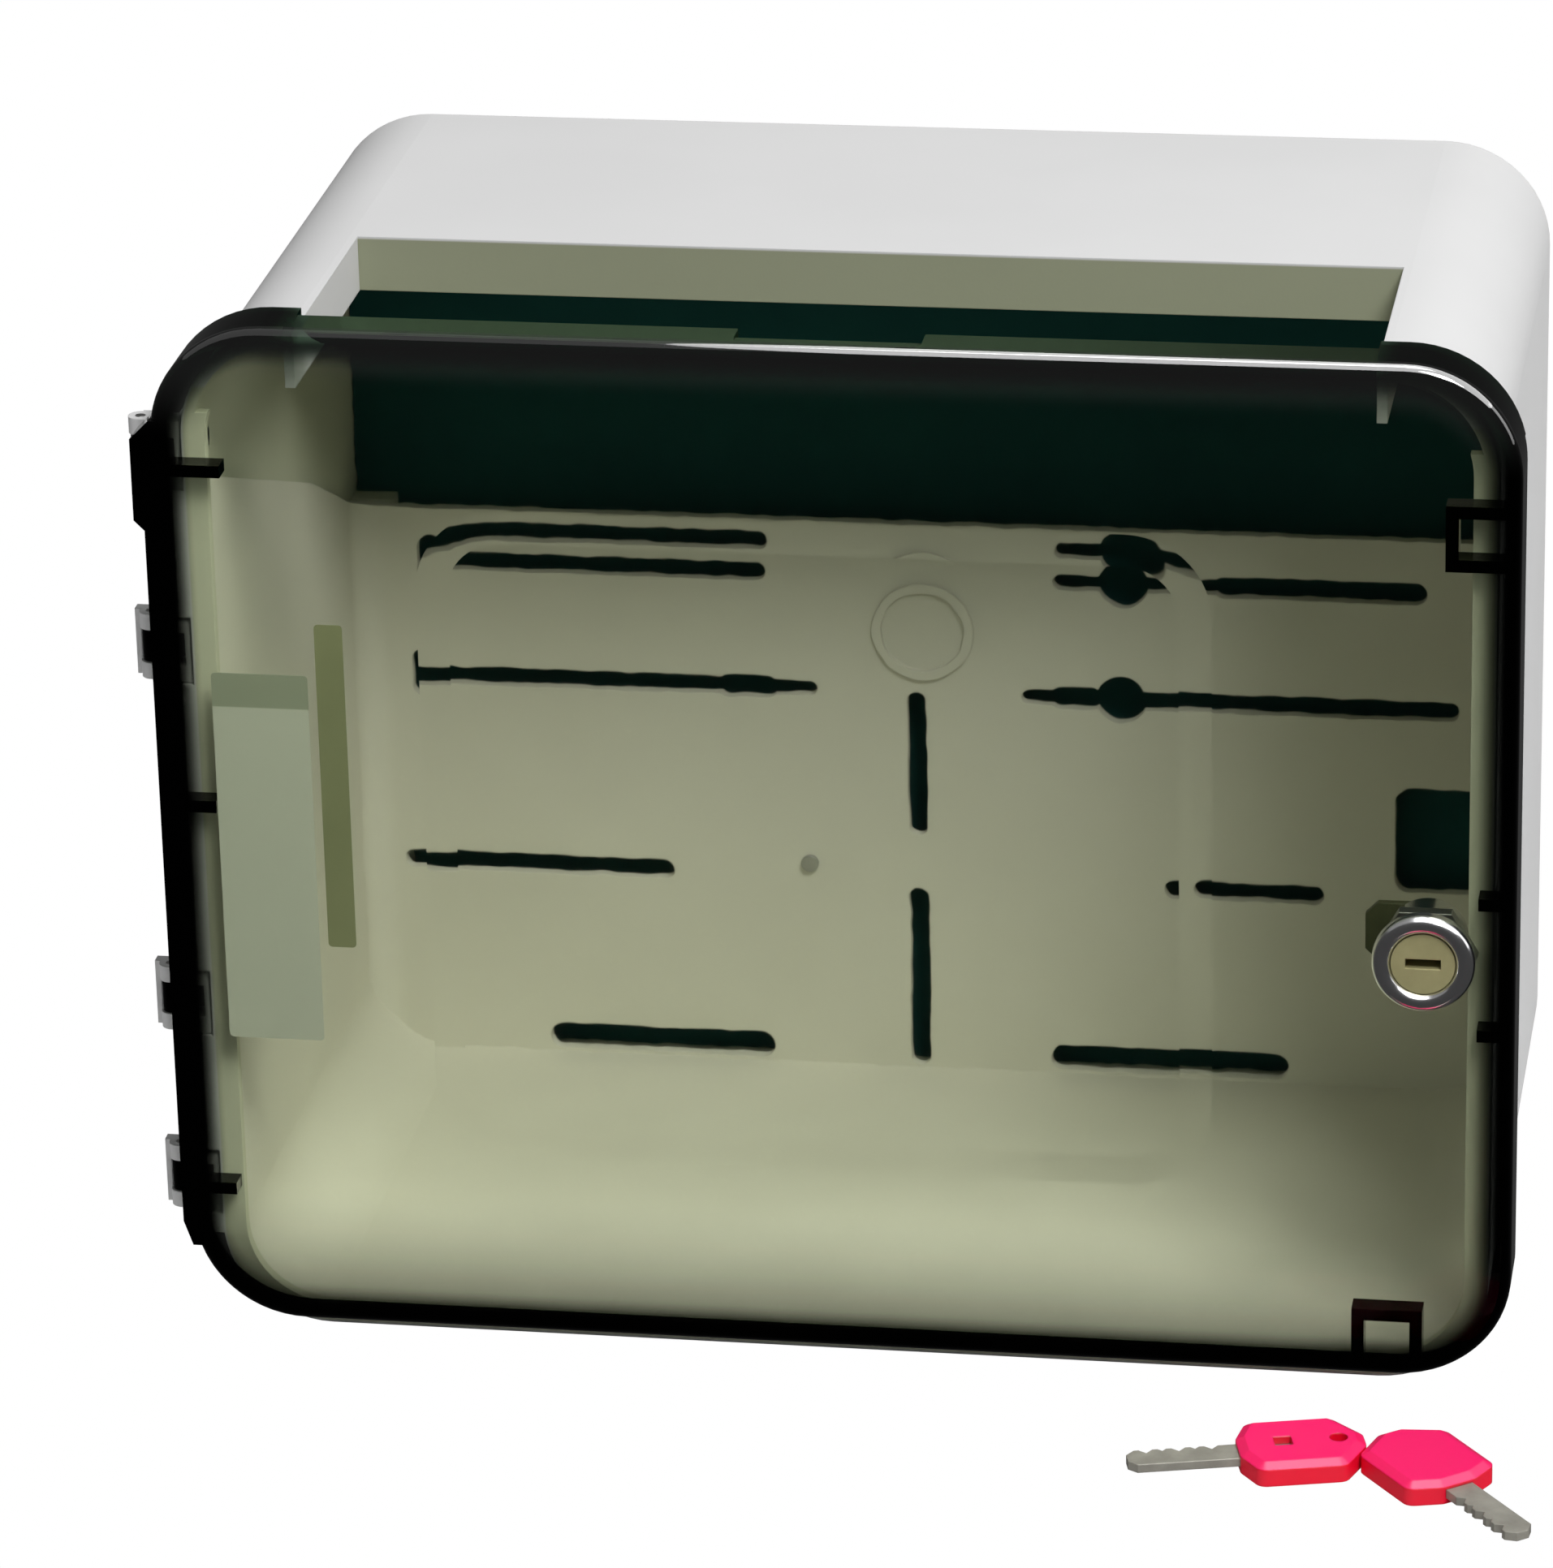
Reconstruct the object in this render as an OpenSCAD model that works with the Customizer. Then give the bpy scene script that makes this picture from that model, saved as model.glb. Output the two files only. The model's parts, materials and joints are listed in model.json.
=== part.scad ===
// Lockable wall cabinet for a sharps container: moulded housing, slotted liner, smoke door on four
// hinge loops, cam lock and two keys. Millimetres, X to the right, Y to the back, Z up.
// The origin is the centre of the underside. The door is closed and the cam is turned open.

/* [Housing] */
// Outer width of the housing
body_w = 318; // [300:1:340]
// Outer height of the housing
body_h = 264; // [250:1:290]
// Outer depth of the housing
body_d = 176; // [160:1:200]
// Wall thickness of the housing
body_wall = 3; // [2.5:0.1:4]
// Outer radius of the four long corners
body_corner_r = 27; // [22:1:34]
// Width of the inward rim round the front, from the outer face
rim_w = 6; // [4.5:0.5:7]
// Thickness of the front rim
rim_t = 3; // [2:0.5:4]
// Height at which the rim ends on both sides
rim_top_z = 243; // [236:1:248]

/* [Drop opening] */
// Width of the opening in the top
drop_w = 260; // [230:1:264]
// Depth of the opening, from the front face
drop_d = 73.4; // [55:0.2:90]
// Height of the lip that is turned down round the opening
lip_h = 14; // [8:0.5:20]
// Thickness of that lip
lip_t = 2.5; // [1.5:0.1:4]

/* [Rear plate] */
// Thickness of the plate that closes the back
plate_t = 3; // [2.5:0.1:4]
// Distance between the left and right wall screw holes
wall_hole_span = 160; // [130:1:180]
// Radius of the wall screw holes
wall_hole_r = 2.5; // [2:0.05:2.6]
// Width of the ledges that carry the rear plate
ledge_w = 10; // [9:0.5:14]
// Thickness of those ledges
ledge_t = 6; // [5:0.5:8]
// Height of the lower ledge end above the underside
ledge_z = 30; // [28:1:40]

/* [Liner] */
// Thickness of the liner's floor and cheeks
cheek_t = 2; // [1.5:0.1:3]
// Radius of the fillets between the cheeks and the back panel
fillet_r = 8; // [4:0.5:9]
// Thickness of the slotted back panel
panel_t = 3; // [2:0.1:4]
// Space between the back panel and the rear plate
panel_space = 9; // [8:0.5:14]
// Height of the panel's upper rim
panel_rim_z = 160.6; // [154:0.2:175]
// Height of the cheek edge where it bends down to the panel
cheek_bend_z = 184; // [178:1:200]
// Distance of that bend in front of the panel
cheek_bend_d = 48; // [30:1:70]
// Height of the cheek edge at the front
cheek_front_z = 227; // [210:1:236]

/* [Slots] */
// Heights of the four slot rows, from the lowest
row_z = [10, 60, 113.5, 146];
// Height of a plain slot
slot_h = 5.2; // [4:0.2:6]
// Height of the wide slots in the lowest row
low_slot_h = 7.3; // [6.6:0.1:8]
// Diameter of the keyhole bulbs
bulb_d = 13.2; // [10:0.2:15]
// Width of the two upright slots
upright_w = 5.1; // [4:0.1:6]

/* [Door] */
// Distance by which the door stands out past each side of the housing
door_over = 6; // [4:0.5:8]
// Height of the door's lower edge above the underside
door_foot = 4.5; // [1:0.5:8]
// Thickness of the door panel
door_t = 3; // [2.5:0.1:3.5]
// Distance from the door's front face to the housing
door_stand = 9; // [8:0.5:12]
// Outer radius of the door's corners
door_corner_r = 28; // [24:1:34]
// Rounding of the door's front edge
door_edge_r = 2.6; // [1.5:0.1:2.8]
// Thickness of the skirt round the door
skirt_t = 2.5; // [2:0.1:2.5]
// Depth of the skirt on the lock side
skirt_d = 16.5; // [13:0.5:20]
// Depth of the top flange
flange_d = 12.6; // [9:0.2:16]
// Width of the notch in the top flange
notch_w = 45; // [30:1:70]
// Depth of the notch
notch_d = 6; // [3:0.5:7]
// Gap between the top flange and the housing
flange_gap = 0.5; // [0.3:0.1:1]
// Width of the raised field at its foot
field_w = 193; // [150:1:200]
// Height of the raised field at its foot
field_h = 170; // [120:1:170]
// Height of the field's centre
field_z = 138; // [128:1:142]
// Height by which the field stands out
field_rise = 0.7; // [0.4:0.1:2]
// Width of the sloped edge of the field
field_slope = 8; // [4:0.5:9]
// Corner radius of the field's flat top
field_r = 13; // [10:1:26]
// Thickness of the door's inner ribs
rib_t = 3.1; // [1.5:0.1:3.5]

/* [Hinges] */
// Heights of the two lower hinges above the underside
hinge_low = [38, 87];
// Distances of the two upper hinges below the housing's top
hinge_high = [83, 32.5];
// Distance of the hinge axis from the housing's side
hinge_out = 11; // [8.5:0.1:12]
// Distance of the hinge axis behind the housing's front face
hinge_back = 4; // [3.9:0.1:5]
// Radius of the hinge pins
pin_r = 1.25; // [1:0.05:1.4]
// Outer radius of the door's knuckles
knuckle_r = 2.6; // [2.3:0.1:2.7]
// Height of a knuckle
knuckle_h = 8; // [6:0.5:9]
// Outer radius of the loops' lugs
lug_r = 3; // [2.8:0.1:3.1]
// Thickness of a lug
lug_t = 4.2; // [3:0.1:5]
// Radial play of a pin in its bores
pin_play = 0.05; // [0.02:0.01:0.1]

/* [Lock] */
// Distance of the lock's axis from the housing's side
lock_in = 16; // [15.5:0.1:18]
// Height of the lock's axis
lock_z = 116.5; // [113:0.5:120]
// Diameter of the chrome bezel
bezel_d = 25; // [22:0.5:27]
// Rise of the bezel in front of the door
bezel_rise = 4; // [3:0.5:5]
// Radius of the barrel
barrel_r = 9.5; // [9:0.1:9.6]
// Radius of the turning plug
plug_r = 7.8; // [7.2:0.1:8]
// Distance of the locked cam's tip from the housing's outer face
cam_tip_in = 0.5; // [0.4:0.1:2]
// Width of the cam
cam_w = 15; // [13:0.5:16]
// Thickness of the cam
cam_t = 2; // [1.5:0.1:2.4]
// Distance of the cam behind the housing's front face
cam_back = 8.2; // [8:0.1:9]

/* [Keys] */
// Length of a key's blade outside its head
blade_l = 27; // [22:1:32]
// Width of the blade
blade_w = 7.5; // [6:0.5:8]
// Thickness of the blade
blade_t = 2.2; // [1.8:0.1:2.6]
// Length of a key's head
head_l = 31; // [28:1:36]
// Width of the head
head_w = 25; // [21:0.5:28]
// Thickness of the head
head_t = 6.4; // [5:0.2:8]

/* [Hidden] */

$fn = 64;
eps = 0.01;
through = 2;
seat = 0.3;

front_y = -body_d / 2;
back_y = body_d / 2;
side_x = body_w / 2;
inner_x = side_x - body_wall;
plate_y = back_y - plate_t;
ledge_y = plate_y - ledge_t;
panel_y = plate_y - panel_space - panel_t;
panel_back_y = panel_y + panel_t;

face_y = front_y - door_stand;
door_inner_y = face_y + door_t;
door_top = body_h + flange_gap + skirt_t;
door_h = door_top - door_foot;
door_mid_z = door_top - door_h / 2;
door_w = body_w + 2 * door_over;
door_side_x = door_w / 2;
skirt_in = door_side_x - skirt_t / 2;
field_x = -4.5;
rib_back = door_stand - seat;

corner_skirt_d = 18;
corner_skirt_w = 35;
corner_skirt_h = 22;
left_skirt_d = 9.6;
low_skirt_d = 8.6;

left_rib_z = [door_foot + 34.7, door_foot + 138, door_top - 37];
left_rib_l = [9, 9, 14];
right_rib_z = [lock_z - 20.4, lock_z + 14];
right_rib_l = 8;
side_pocket_w = 16.8;
side_pocket_h = 16.5;
side_pocket_down = 51.5;
foot_pocket_w = 17.4;
foot_pocket_h = 15.8;
foot_pocket_in = 37.8;

strip_out = 2.2;
strip_back = 9.5;
strip_below = 14;
strip_above = 9.5;
strip_slant = 6.5;
bulge_below = 16.5;
bulge_out = 2.6;
knuckle_arm = 1.8;
knuckle_root = 4;

hinge_z = [hinge_low[0], hinge_low[1], body_h - hinge_high[0], body_h - hinge_high[1]];
axis_x = -side_x - hinge_out;
axis_y = front_y + hinge_back;
loop_h = knuckle_h + 2 * lug_t + 2 * seat;
bore_r = pin_r + pin_play;

loop_web_t = 1.4;
loop_foot_t = 2;
loop_foot_d = 18;
loop_screw_back = 10;
loop_web_back = 0.8;
loop_web_d = 3;

side_flange_t = 2;
side_flange_play = 0.5;
side_flange_out = door_over - skirt_t - side_flange_play;
side_flange_z = [24, 238];

screw_r = 1.5;
screw_head_r = 2.9;
screw_head_t = 1.6;
screw_play = 0.05;
plate_screw_z = [45, 125];
plate_screw_top_x = 80;
plate_screw_l = 8.4;
liner_post_z = [50, 148];
liner_post_r = 4;
liner_screw_x = -34;
liner_screw_z = 63.5;
liner_screw_head_r = 2.4;
liner_screw_head_t = 1;
loop_screw_l = 4.6;

lock_x = side_x - lock_in;
lock_fit = 0.05;
barrel_l = 17;
barrel_room = 1;
plug_sink = 1.4;
tail_w = 8;
tail_play = 0.05;
washer_t = 0.8;
nut_t = 3.5;
nut_flats = 22;
keyway_w = 8.6;
keyway_h = 2.5;
keyway_l = 15;
wafer_count = 4;
wafer_t = 1;
wafer_step = 2.6;
wafer_first = 3;
wafer_in = 1.2;
wafer_play = 0.2;
cam_y = front_y + cam_back;
cam_reach = lock_in - cam_tip_in;
cam_chamfer = 3;
cam_slot_room = 1;
cam_screw_r = 1.5;
cam_screw_l = 5;
cam_screw_head_r = 5;
cam_screw_head_t = 2;

label_in = 23.8;
label_z = 129.5;
label_w = 24;
label_h = 97;
label_t = 0.3;
band_in = 41.5;
band_z = 149;
band_w = 7;
band_h = 85;

ring_x = -2.5;
ring_z = 131;
ring_r = 13.5;
ring_w = 2.5;
ring_rise = 1.2;

// Slots of the rows from the lowest: left end, right end, height beyond that of the row's plain slot
row_slots = [
    [[-105.7, -44.3, 0], [30.4, 94.2, 0]],
    [[-144, -70.6, 0.3], [61, 103.4, 0]],
    [[-140, -48, 0], [-58, -41.4, 1.3], [-48, -30.8, -0.7],
     [23.4, 40, -0.7], [31, 45, 1.3], [45, 138.5, 0.2]],
    [[-137.4, -44, 0], [32, 80, -0.8], [73.9, 129.8, 0.8]]];
row_slot_h = [low_slot_h, slot_h, slot_h, slot_h];
// Places of the round bulbs and of the tall slot heads in the third and fourth row
bulb_x = [49.8, 50.5];
head_slot_x = [-140, -137.4];
head_slot_w = 7.5;
head_slot_h = 14;
// Lower and upper end of the two upright slots
upright_x = -4.5;
upright_ends = [[body_wall + cheek_t + 1, 57.5], [72.5, 113.4]];
window_x = [122, 152.5];
window_z = [62, 91.5];
window_r = 4;

tang_l = 15;
tang_play = 0.05;
tip_chamfer = 3;
bit_step = 4;
bit_depth = [1.5, 2.4];
bit_count = 5;
neck_w = 13.6;
ring_end_w = 10;
neck_taper = 5.5;
ring_taper = 8;
head_corner_r = 3;
head_slope_w = 2.2;
head_slope_h = 1.3;
ring_hole_r = 2.2;
ring_hole_in = 6.4;
head_window_w = 4.4;
head_window_in = 11;
key_1_x = 102.8;
key_1_y = -141;
key_1_turn = 14.6;
key_2_x = 157.2;
key_2_y = -153;
key_2_turn = 128;

plastic = [0.86, 0.86, 0.85];
liner_plastic = [0.72, 0.72, 0.60];
smoke = [0.16, 0.22, 0.18, 0.55];
dark_steel = [0.05, 0.06, 0.09];
steel = [0.75, 0.76, 0.78];
brass = [0.80, 0.66, 0.36];
pink = [0.95, 0.12, 0.42];
paper = [0.80, 0.82, 0.78];

// Stands a piece up that is drawn lying down: its Y becomes up and its Z runs to the back
module stand() {
    mirror([0, 1, 0]) rotate([90, 0, 0]) children();
}

// Extrudes an outline drawn in X and Z from the depth y0 over the length l to the back
module deep(y0, l) {
    stand() translate([0, 0, y0]) linear_extrude(height = l) children();
}

// Extrudes an outline drawn in Y and Z between two places along X
module wide(x0, x1) {
    translate([x0, 0, 0]) rotate([90, 0, 90]) linear_extrude(height = x1 - x0) children();
}

// Rounded rectangle about the origin
module rounded_rect(w, h, r) {
    square([w - 2 * r, h], center = true);
    square([w, h - 2 * r], center = true);
    for (sx = [-1, 1], sy = [-1, 1])
        translate([sx * (w / 2 - r), sy * (h / 2 - r)]) circle(r);
}

// Slot with round ends from x0 to x1
module slot(x0, x1, h) {
    translate([x0 + h / 2, -h / 2]) square([x1 - x0 - h, h]);
    for (x = [x0 + h / 2, x1 - h / 2])
        translate([x, 0]) circle(d = h);
}

// Sweeps a profile round a rounded rectangle. The profile's X runs outward from the corner centres.
module frame_sweep(w, h, r) {
    for (i = [0:3])
        let (a = i % 2 == 0 ? w : h, b = i % 2 == 0 ? h : w)
            rotate([0, 0, 90 * i]) translate([a / 2 - r, b / 2 - r, 0]) {
                rotate([90, 0, 0]) linear_extrude(height = b - 2 * r) children();
                rotate_extrude(angle = 90) children();
            }
}

// Outline of the housing, moved inward by an inset
module body_outline(inset) {
    translate([0, body_h / 2])
        rounded_rect(body_w - 2 * inset, body_h - 2 * inset, body_corner_r - inset);
}

// Countersunk screw whose head is flush with y = 0 and whose shank runs to the front
module screw(l, play = 0) {
    rotate([90, 0, 0]) {
        cylinder(r = screw_r + play, h = l);
        rotate_extrude() polygon([[0, -play], [screw_head_r + play, -play],
                                  [screw_r + play, screw_head_t], [0, screw_head_t]]);
    }
}

// Places of the screws that hold the rear plate
module at_plate_screws() {
    for (sx = [-1, 1]) {
        for (z = plate_screw_z)
            translate([sx * (inner_x - ledge_w / 2), back_y, z]) children();
        translate([sx * plate_screw_top_x, back_y, body_h - body_wall - ledge_w / 2]) children();
    }
}

// Places of the posts by which the liner rests on the ledges
module at_liner_posts() {
    for (sx = [-1, 1], z = liner_post_z)
        translate([sx * (inner_x - ledge_w / 2), panel_back_y - eps, z]) rotate([-90, 0, 0]) children();
}

// Place of the screw that holds the liner, on the panel's front, with Z to the back
module at_liner_screw() {
    translate([liner_screw_x, panel_y, liner_screw_z]) rotate([-90, 0, 0]) children();
}

// Places of the screws that hold the hinge loops
module at_loop_screws() {
    for (z = hinge_z)
        translate([-inner_x, axis_y + loop_screw_back, z]) rotate([0, 0, -90]) children();
}

module housing() {
    color(plastic) difference() {
        union() {
            deep(front_y, body_d) difference() {
                body_outline(0);
                body_outline(body_wall);
            }
            deep(front_y, rim_t) difference() {
                body_outline(body_wall / 2);
                body_outline(rim_w);
                translate([-side_x, rim_top_z]) square([body_w, body_h]);
            }
            side_flange();
            drop_lip();
            ledges();
        }
        translate([-drop_w / 2, front_y - through, body_h - lip_h - through])
            cube([drop_w, drop_d + through, lip_h + 2 * through]);
        lock_room();
        at_plate_screws() screw(plate_screw_l, screw_play);
        at_loop_screws() screw(loop_screw_l, screw_play);
    }
}

// Narrow flange at the front edge of the left wall, interrupted at the hinge loops
module side_flange() {
    difference() {
        translate([-side_x - side_flange_out, front_y, side_flange_z[0]])
            cube([side_flange_out + body_wall / 2, side_flange_t, side_flange_z[1] - side_flange_z[0]]);
        for (z = hinge_z)
            translate([-side_x - side_flange_out - through, front_y - through, z - loop_h / 2 - seat])
                cube([side_flange_out + through, side_flange_t + 2 * through, loop_h + 2 * seat]);
    }
}

// Lip that is turned down at the left, right and rear edge of the drop opening
module drop_lip() {
    translate([-drop_w / 2 - lip_t, front_y, body_h - lip_h])
        cube([drop_w + 2 * lip_t, drop_d + lip_t, lip_h - body_wall / 2]);
}

// Ledges inside the back edge: one on each side behind the liner, one below the top
module ledges() {
    side_top = panel_rim_z - seat;
    for (sx = [-1, 1])
        translate([sx * (inner_x - ledge_w / 2), ledge_y + ledge_t / 2, (ledge_z + side_top) / 2])
            cube([ledge_w + body_wall, ledge_t, side_top - ledge_z], center = true);
    translate([-plate_screw_top_x - ledge_w, ledge_y, body_h - body_wall - ledge_w])
        cube([2 * (plate_screw_top_x + ledge_w), ledge_t, ledge_w + body_wall / 2]);
}

// Room for the lock in the rim, the liner and the right wall: round the barrel, and a slot for the cam
module lock_room() {
    slot_x = inner_x - seat - cheek_t - through;
    slot_z = sqrt(pow(cam_reach, 2) - pow(slot_x + through - lock_x, 2)) + 2 * cam_slot_room;
    translate([slot_x, cam_y - cam_t, lock_z - slot_z])
        cube([side_x + through - slot_x, 3 * cam_t, 2 * slot_z]);
    on_lock(front_y - through) cylinder(r = barrel_r + barrel_room, h = barrel_l);
}

module liner() {
    floor_in = body_wall + seat;
    liner_front = front_y + rim_t + seat;
    color(liner_plastic) difference() {
        union() {
            intersection() {
                union() {
                    deep(liner_front, panel_back_y - liner_front) difference() {
                        body_outline(floor_in);
                        body_outline(floor_in + cheek_t);
                    }
                    deep(panel_y, panel_t) body_outline(floor_in);
                    cheek_fillets(floor_in);
                }
                wide(-side_x, side_x) liner_side();
            }
            deep(panel_y - ring_rise, ring_rise + eps) ring_outline();
            liner_posts();
        }
        deep(panel_y - fillet_r, panel_t + fillet_r + through) panel_cuts();
        lock_room();
        at_liner_screw() cylinder(r = screw_r + screw_play, h = plate_y - panel_y + through);
    }
}

// Upright fillets between the cheeks and the panel
module cheek_fillets(floor_in) {
    cheek_x = side_x - floor_in - cheek_t;
    intersection() {
        deep(panel_y - fillet_r, fillet_r + panel_t / 2) body_outline(floor_in + cheek_t / 2);
        for (sx = [-1, 1]) scale([sx, 1, 1]) linear_extrude(height = body_h) difference() {
            translate([cheek_x - fillet_r, panel_y - fillet_r])
                square([fillet_r + cheek_t, fillet_r + panel_t]);
            translate([cheek_x - fillet_r, panel_y - fillet_r]) circle(fillet_r);
        }
    }
}

// Side view of the liner in Y and Z, with the cheek's sloping upper edge
module liner_side() {
    polygon([[front_y, 0], [panel_back_y, 0], [panel_back_y, panel_rim_z], [panel_y, panel_rim_z],
             [panel_y - cheek_bend_d, cheek_bend_z], [front_y, cheek_front_z]]);
}

// Raised ring on the panel's front
module ring_outline() {
    translate([ring_x, ring_z]) difference() {
        circle(ring_r);
        circle(ring_r - ring_w);
    }
}

// Posts behind the panel: four stand on the ledges, the one round the screw stands on the rear plate
module liner_posts() {
    at_liner_posts() cylinder(r = liner_post_r, h = ledge_y - panel_back_y + eps);
    at_liner_screw() translate([0, 0, panel_t - eps])
        cylinder(r = liner_post_r, h = plate_y - panel_back_y + eps);
}

// All cut-outs of the back panel, in X and Z
module panel_cuts() {
    for (row = [0:len(row_z) - 1], cut = row_slots[row])
        translate([0, row_z[row]]) slot(cut[0], cut[1], row_slot_h[row] + cut[2]);
    for (i = [0, 1])
        translate([0, row_z[i + 2]]) {
            translate([bulb_x[i], 0]) circle(d = bulb_d);
            translate([head_slot_x[i] + head_slot_w / 2, 0])
                rounded_rect(head_slot_w, head_slot_h, head_slot_w / 2 - eps);
        }
    for (ends = upright_ends)
        translate([upright_x, 0]) rotate(90) slot(ends[0], ends[1], upright_w);
    translate([(window_x[0] + window_x[1]) / 2, (window_z[0] + window_z[1]) / 2])
        rounded_rect(window_x[1] - window_x[0], window_z[1] - window_z[0], window_r);
}

module rear_plate() {
    color(dark_steel) difference() {
        deep(plate_y, plate_t) body_outline(body_wall + seat);
        for (sx = [-1, 1], z = [row_z[0], row_z[2]])
            translate([sx * wall_hole_span / 2, back_y + through, z]) rotate([90, 0, 0])
                cylinder(r = wall_hole_r, h = plate_t + 2 * through);
        at_plate_screws() screw(plate_screw_l, screw_play);
        at_liner_screw() cylinder(r = screw_r + screw_play, h = back_y - panel_y + through);
    }
}

module plate_screws() {
    color(steel) at_plate_screws() screw(plate_screw_l);
}

module liner_screw() {
    color(steel) at_liner_screw() {
        translate([0, 0, -liner_screw_head_t]) cylinder(r = liner_screw_head_r, h = liner_screw_head_t);
        cylinder(r = screw_r, h = back_y - panel_y - screw_play);
    }
}

module loop_screws() {
    color(steel) at_loop_screws() screw(loop_screw_l);
}

// Plan of a hinge loop's lug about the hinge axis, with the bar behind it where there is a web
module lug_outline(web) {
    circle(lug_r);
    translate([0, -lug_r]) square([hinge_out, 2 * lug_r]);
    if (web)
        translate([-lug_r - loop_web_t, loop_web_back])
            square([hinge_out + lug_r + loop_web_t, loop_web_d]);
    square([hinge_out, loop_web_back + loop_web_d]);
}

// Hinge loop on the left wall. The web closes the loop outside the knuckle.
module hinge_loop(i, web = true) {
    color(plastic) translate([axis_x, axis_y, hinge_z[i]]) difference() {
        union() {
            for (z = [-loop_h / 2, loop_h / 2 - lug_t])
                translate([0, 0, z]) linear_extrude(height = lug_t) lug_outline(web);
            if (web)
                translate([-lug_r - loop_web_t, loop_web_back, -loop_h / 2])
                    cube([loop_web_t, loop_web_d, loop_h]);
            translate([hinge_out - loop_foot_t, -lug_r, -loop_h / 2])
                cube([loop_foot_t, loop_foot_d, loop_h]);
        }
        cylinder(r = bore_r, h = loop_h + through, center = true);
        translate([hinge_out + body_wall, loop_screw_back, 0]) rotate([0, 0, -90])
            screw(loop_screw_l, screw_play);
    }
}

module hinge_pin(i) {
    color(steel) translate([axis_x, axis_y, hinge_z[i]])
        cylinder(r = pin_r, h = loop_h, center = true);
}

// Section of the door's edge: X runs outward from the corner centre, Y runs to the back
module skirt_profile(depth) {
    r = door_corner_r;
    difference() {
        union() {
            translate([0, door_edge_r]) square([r, depth - door_edge_r]);
            square([r - door_edge_r, depth]);
            translate([r - door_edge_r, door_edge_r]) circle(door_edge_r);
        }
        translate([-eps, door_t]) square([r - skirt_t + eps, depth]);
    }
}

// Flat field with sloped edges that rises by field_rise, lying down about the origin
module raised_field() {
    top_w = field_w - 2 * field_slope;
    top_h = field_h - 2 * field_slope;
    linear_extrude(height = field_rise) rounded_rect(top_w, top_h, field_r);
    frame_sweep(top_w, top_h, field_r)
        polygon([[field_r - eps, 0], [field_r + field_slope, 0], [field_r, field_rise],
                 [field_r - eps, field_rise]]);
}

// Stretches where the skirt is less deep than at the upper corners
module skirt_cuts() {
    past = corner_skirt_d + through;
    corner_skirt_x = door_side_x - corner_skirt_w;
    corner_skirt_z = door_top - corner_skirt_h;
    translate([-door_side_x - through, face_y + left_skirt_d, door_foot - through])
        cube([door_corner_r, past, corner_skirt_z - door_foot]);
    translate([-door_side_x - through, face_y + low_skirt_d, door_foot - through])
        cube([door_w + 2 * through, past, door_corner_r]);
    translate([0, face_y + skirt_d, door_foot])
        cube([door_side_x + through, past, corner_skirt_z - door_foot]);
    translate([-corner_skirt_x, face_y + flange_d, corner_skirt_z])
        cube([2 * corner_skirt_x, past, door_h]);
    translate([-notch_w / 2, face_y + notch_d, corner_skirt_z])
        cube([notch_w, past, door_h]);
}

// Bracket-shaped ribs behind the door: a rectangle outline open on one side
module pocket_rib(w, h) {
    difference() {
        square([w, h]);
        translate([rib_t, rib_t]) square([w, h - 2 * rib_t]);
    }
}

// Ribs between the panel and the housing's rim
module door_ribs() {
    deep(door_inner_y - eps, rib_back - door_t + eps) {
        for (i = [0:len(left_rib_z) - 1])
            translate([-skirt_in, left_rib_z[i] - rib_t / 2]) square([left_rib_l[i] + skirt_t / 2, rib_t]);
        for (z = right_rib_z)
            translate([skirt_in - right_rib_l, z - rib_t / 2]) square([right_rib_l, rib_t]);
        translate([skirt_in - side_pocket_w, door_top - side_pocket_down])
            pocket_rib(side_pocket_w, side_pocket_h);
        translate([skirt_in - foot_pocket_in, door_foot + skirt_t / 2 + foot_pocket_h])
            rotate(-90) pocket_rib(foot_pocket_h, foot_pocket_w);
    }
}

// Strip along the door's left edge in front of the hinges, wider at the top hinge, with slanted ends
module hinge_strip() {
    x = -door_side_x;
    outer = x - strip_out;
    foot = hinge_z[0] - strip_below;
    top = hinge_z[3] + strip_above;
    bulge_foot = hinge_z[3] - bulge_below;
    deep(face_y, strip_back)
        polygon([[x + skirt_t, foot], [x, foot], [outer, foot + strip_slant],
                 [outer, bulge_foot], [outer - bulge_out, bulge_foot + bulge_out],
                 [outer - bulge_out, top - bulge_out], [outer, top],
                 [x, top + strip_out], [x + skirt_t, top + strip_out]]);
}

// Knuckles round the hinge axis, each on an arm from the strip in front of it
module knuckles() {
    strip_y = face_y + strip_back - axis_y;
    strip_x = -door_side_x - strip_out - axis_x;
    for (z = hinge_z)
        translate([axis_x, axis_y, z - knuckle_h / 2]) {
            cylinder(r = knuckle_r, h = knuckle_h);
            linear_extrude(height = knuckle_h)
                polygon([[-knuckle_arm, 0], [knuckle_arm, 0], [strip_x + knuckle_root, strip_y - eps],
                         [strip_x, strip_y - eps]]);
        }
}

module door() {
    color(smoke) difference() {
        union() {
            difference() {
                translate([0, face_y, door_mid_z]) stand() {
                    frame_sweep(door_w, door_h, door_corner_r) skirt_profile(corner_skirt_d);
                    linear_extrude(height = door_t)
                        square([door_w - 2 * door_corner_r, door_h - 2 * door_corner_r], center = true);
                }
                skirt_cuts();
            }
            translate([field_x, face_y + eps, field_z]) rotate([90, 0, 0]) raised_field();
            door_ribs();
            hinge_strip();
            knuckles();
        }
        translate([lock_x, face_y - through, lock_z]) rotate([-90, 0, 0])
            cylinder(r = barrel_r + lock_fit, h = door_t + 2 * through);
        translate([axis_x, axis_y, 0]) cylinder(r = bore_r, h = door_top);
    }
}

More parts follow.
